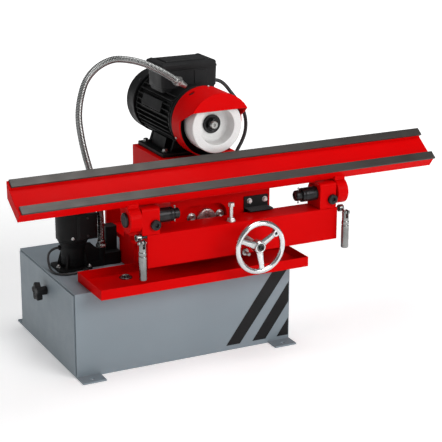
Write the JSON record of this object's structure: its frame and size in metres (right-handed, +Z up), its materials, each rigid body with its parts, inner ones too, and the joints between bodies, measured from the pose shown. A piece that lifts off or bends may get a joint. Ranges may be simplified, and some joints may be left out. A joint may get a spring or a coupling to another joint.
{
  "type": "wet grinding sharpener",
  "caption": "Bench machine that sharpens long planer knives: a motor with a cup wheel behind a long tilting knife bar on a sliding saddle, over a drip tray and a coolant cabinet.",
  "frame": {"origin": "centre of the base cabinet's underside", "axes": "+X along the knife bar to the operator's right, +Y to the back, +Z up"},
  "size_m": [1.046, 0.524, 0.6942],
  "materials": {
    "red_paint": "gloss enamel",
    "grey_paint": "satin powder coat",
    "black_paint": "semi-gloss enamel",
    "black_plastic": "moulded",
    "black_oxide": "black oxide",
    "chrome": "bright plate",
    "polished_aluminium": "polished",
    "bright_steel": "machined",
    "galvanised_steel": "galvanised",
    "ground_strip": "ground, dull",
    "abrasive": "vitrified grit",
    "cable_rubber": "matt"
  },
  "bodies": {
    "root": {"base_cabinet": "grey_paint", "drip_tray": "red_paint", "drain_strainer": "chrome", "coolant_tank": "galvanised_steel", "bed": "red_paint", "motor_column": "red_paint", "motor_housing": "black_paint", "front_shield": "black_paint", "rear_shield": "black_paint", "front_bearing": "bright_steel", "rear_bearing": "bright_steel", "fan_cowl": "black_plastic", "terminal_box": "black_paint", "terminal_lid": "black_paint", "cable_gland": "black_plastic", "base_gland": "black_plastic", "motor_cable": "cable_rubber", "wheel_guard": "red_paint", "guard_visor": "red_paint", "pump_base": "black_paint", "pump_motor": "black_paint", "pump_cable": "cable_rubber", "cable_elbow": "black_plastic", "hose_fitting": "chrome", "gooseneck_hose": "chrome", "hose_nozzle": "polished_aluminium"},
    "panel": {"side_panel": "grey_paint"},
    "panel_knob": {"panel_knob": "black_plastic"},
    "spindle": {"spindle_shaft": "bright_steel", "cooling_fan": "black_plastic", "inner_flange": "black_oxide", "cup_wheel": "abrasive", "outer_flange": "black_oxide", "spindle_nut": "black_oxide"},
    "pump_rotor": {"pump_rotor": "bright_steel"},
    "carriage": {"saddle": "red_paint", "window_roller": "bright_steel", "way_cover": "black_plastic"},
    "feed_wheel": {"feed_screw": "bright_steel", "handwheel": "polished_aluminium"},
    "beam": {"beam": "red_paint", "guide_bar_left": "bright_steel", "guide_bar_right": "bright_steel", "ear_left": "red_paint", "ear_right": "red_paint", "stop_bolt": "bright_steel"},
    "ear_screw_left": {"ear_screw_left": "black_plastic"},
    "ear_screw_right": {"ear_screw_right": "black_plastic"},
    "lock_screw": {"lock_screw": "bright_steel"},
    "knife_bar": {"knife_bar": "red_paint", "upper_strip": "ground_strip", "lower_strip": "ground_strip", "trunnion_left": "black_oxide", "trunnion_right": "black_oxide"},
    "clamp_nut_left": {"clamp_nut_left": "black_oxide"},
    "clamp_nut_right": {"clamp_nut_right": "black_oxide"},
    "lever_left": {"lever_link_left": "chrome"},
    "lever_right": {"lever_link_right": "chrome"},
    "grip_left": {"lever_grip_left": "chrome"},
    "grip_right": {"lever_grip_right": "chrome"}
  },
  "joints": [
    {"name": "panel_removal", "type": "slide", "parent": "root", "child": "panel", "axis": [-1, 0, 0], "range_m": [0, 0.15]},
    {"name": "panel_knob_turn", "type": "hinge", "parent": "panel", "child": "panel_knob", "pos_m": [-0.272, -0.005, 0.153], "axis": [1, 0, 0], "range_deg": [0, 720]},
    {"name": "spindle_spin", "type": "hinge", "parent": "root", "child": "spindle", "pos_m": [0.11, -0.04, 0.525], "axis": [0, -1, 0], "continuous": true},
    {"name": "pump_spin", "type": "hinge", "parent": "root", "child": "pump_rotor", "pos_m": [-0.203, 0, 0.2], "axis": [0, 0, 1], "continuous": true},
    {"name": "carriage_travel", "type": "slide", "parent": "root", "child": "carriage", "axis": [1, 0, 0], "range_m": [-0.11, 0.11]},
    {"name": "infeed", "type": "slide", "parent": "carriage", "child": "beam", "axis": [0, 1, 0], "range_m": [-0.03, 0.005]},
    {"name": "handwheel_turn", "type": "hinge", "parent": "carriage", "child": "feed_wheel", "pos_m": [0.134, -0.284, 0.282], "axis": [0, 1, 0], "range_deg": [-2700, 450]},
    {"name": "knife_bar_tilt", "type": "hinge", "parent": "beam", "child": "knife_bar", "pos_m": [0.122, -0.195, 0.36], "axis": [1, 0, 0], "range_deg": [-12, 22]},
    {"name": "clamp_nut_left_turn", "type": "hinge", "parent": "beam", "child": "clamp_nut_left", "pos_m": [-0.06, -0.195, 0.36], "axis": [1, 0, 0], "range_deg": [-180, 180]},
    {"name": "clamp_nut_right_turn", "type": "hinge", "parent": "beam", "child": "clamp_nut_right", "pos_m": [0.3, -0.195, 0.36], "axis": [1, 0, 0], "range_deg": [-180, 180]},
    {"name": "ear_screw_left_turn", "type": "hinge", "parent": "beam", "child": "ear_screw_left", "pos_m": [-0.092, -0.218, 0.3475], "axis": [0, 1, 0], "range_deg": [-180, 180]},
    {"name": "ear_screw_right_turn", "type": "hinge", "parent": "beam", "child": "ear_screw_right", "pos_m": [0.358, -0.218, 0.3475], "axis": [0, 1, 0], "range_deg": [-180, 180]},
    {"name": "lock_screw_turn", "type": "hinge", "parent": "beam", "child": "lock_screw", "pos_m": [0.129, -0.218, 0.253], "axis": [0, 1, 0], "range_deg": [-180, 180]},
    {"name": "lever_left_turn", "type": "hinge", "parent": "beam", "child": "lever_left", "pos_m": [-0.131, -0.213, 0.321], "axis": [-1, 0, 0], "range_deg": [0, 60]},
    {"name": "lever_right_turn", "type": "hinge", "parent": "beam", "child": "lever_right", "pos_m": [0.3845, -0.213, 0.321], "axis": [-1, 0, 0], "range_deg": [0, 60]},
    {"name": "grip_left_swing", "type": "hinge", "parent": "lever_left", "child": "grip_left", "pos_m": [-0.131, -0.236, 0.316], "axis": [-1, 0, 0], "range_deg": [-20, 60]},
    {"name": "grip_right_swing", "type": "hinge", "parent": "lever_right", "child": "grip_right", "pos_m": [0.3845, -0.236, 0.316], "axis": [-1, 0, 0], "range_deg": [-20, 60]}
  ],
  "couplings": [
    {"joint": "handwheel_turn", "follows": "infeed", "rad_per_m": 1570.8}
  ]
}
